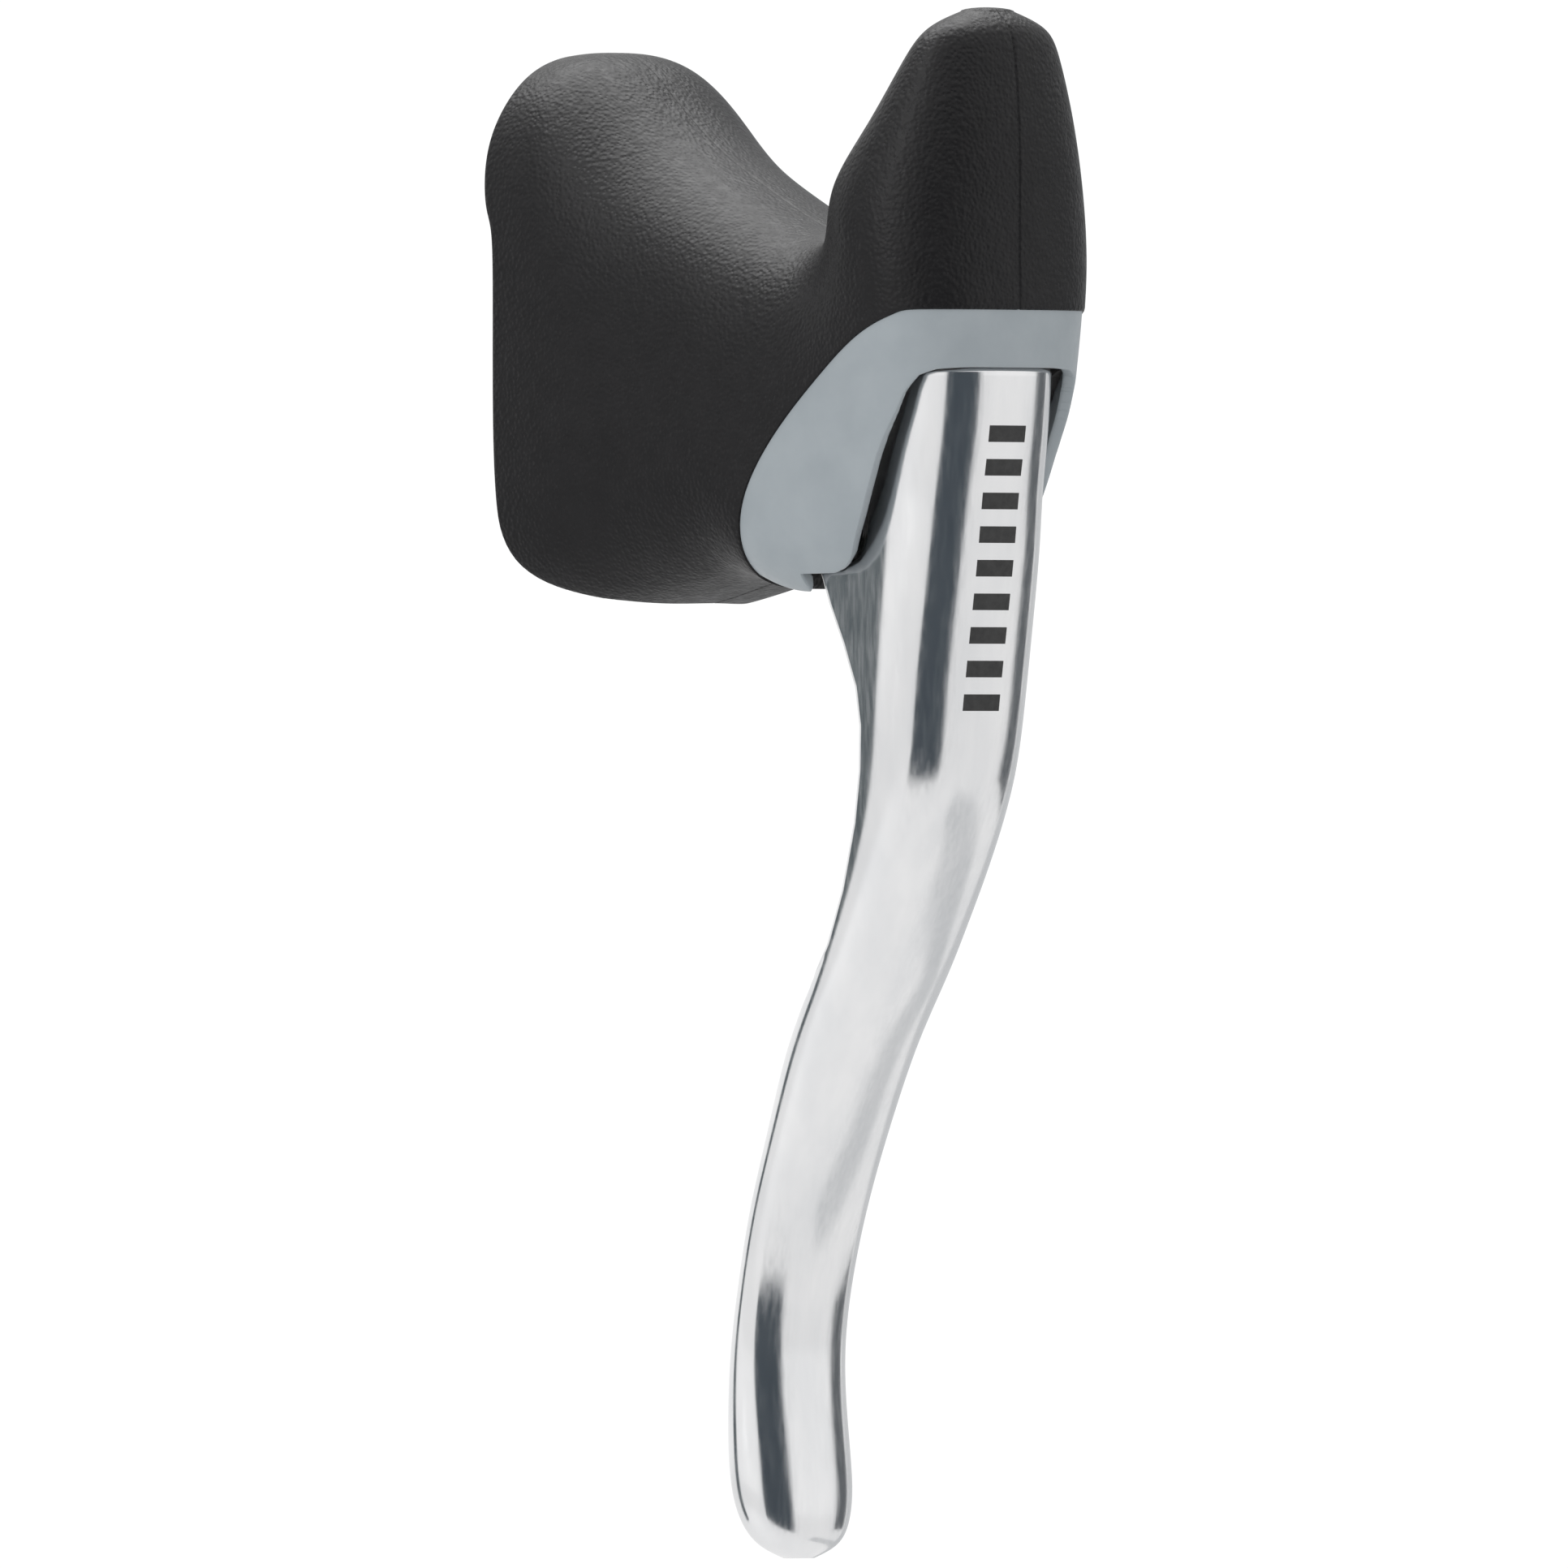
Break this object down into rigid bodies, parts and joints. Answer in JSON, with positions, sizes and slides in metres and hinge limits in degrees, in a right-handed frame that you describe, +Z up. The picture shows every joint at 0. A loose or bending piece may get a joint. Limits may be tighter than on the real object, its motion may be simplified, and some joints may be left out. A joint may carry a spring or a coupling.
{
  "type": "road brake lever",
  "caption": "Drop-bar road brake lever: rubber hood with a rear hump and tall horn, grey moulded cover and a polished S-curved blade on a pivot, with a strap clamp.",
  "frame": {"origin": "centre of the handlebar clamp bore, on the bolt's axis", "axes": "+Z up along the handlebar in the clamp, towards the hood's horn; +X forward, from the handlebar towards the blade; +Y to the side"},
  "size_m": [0.0701, 0.0336, 0.1596],
  "materials": {
    "rubber": "fine leather-grained moulded rubber, satin",
    "cover_grey": "blue-grey satin moulding",
    "core_black": "glass-filled nylon, matt black",
    "polished_alloy": "polished and clear-coated cast aluminium",
    "zinc_steel": "zinc-plated steel",
    "stainless": "stainless strip and wire",
    "brass": "turned brass",
    "bush_plastic": "acetal",
    "print_black": "black pad print"
  },
  "bodies": {
    "bracket": {"bracket_body": "core_black", "cowl_cover": "cover_grey", "rubber_hood": "rubber", "cable_stop": "brass", "pivot_pin": "stainless", "rest_bumper": "rubber"},
    "lever": {"lever_blade": "polished_alloy", "pivot_bush_left": "bush_plastic", "pivot_bush_right": "bush_plastic", "pivot_washer_left": "bush_plastic", "pivot_washer_right": "bush_plastic", "lever_mark": "print_black", "return_spring": "stainless"},
    "cable_anchor_barrel": {"cable_anchor": "zinc_steel", "anchor_pin_left": "stainless", "anchor_pin_right": "stainless"},
    "clamp_screw": {"clamp_bolt": "zinc_steel", "clamp_washer": "zinc_steel"},
    "strap": {"clamp_band": "stainless", "clamp_nut": "zinc_steel", "band_pin_left": "stainless", "band_pin_right": "stainless"}
  },
  "joints": [
    {"name": "lever_pull", "type": "hinge", "parent": "bracket", "child": "lever", "pos_m": [0.0385, 0, -0.013], "axis": [0, 1, 0], "range_deg": [0, 32], "stiffness_Nm_per_rad": 0.3, "springref_deg": -28.65, "deforming": ["return_spring"]},
    {"name": "anchor_turn", "type": "hinge", "parent": "lever", "child": "cable_anchor_barrel", "pos_m": [0.0476, 0, -0.0064], "axis": [0, 1, 0], "range_deg": [-25, 0]},
    {"name": "bolt_turn", "type": "hinge", "parent": "bracket", "child": "clamp_screw", "pos_m": [0.02, 0, 0], "axis": [1, 0, 0], "range_deg": [0, 796]},
    {"name": "strap_slide", "type": "slide", "parent": "bracket", "child": "strap", "axis": [-1, 0, 0], "range_m": [0, 0.0022]}
  ],
  "couplings": [
    {"joint": "anchor_turn", "follows": "lever_pull", "ratio": -0.756},
    {"joint": "bolt_turn", "follows": "strap_slide", "rad_per_m": 6283.2}
  ]
}
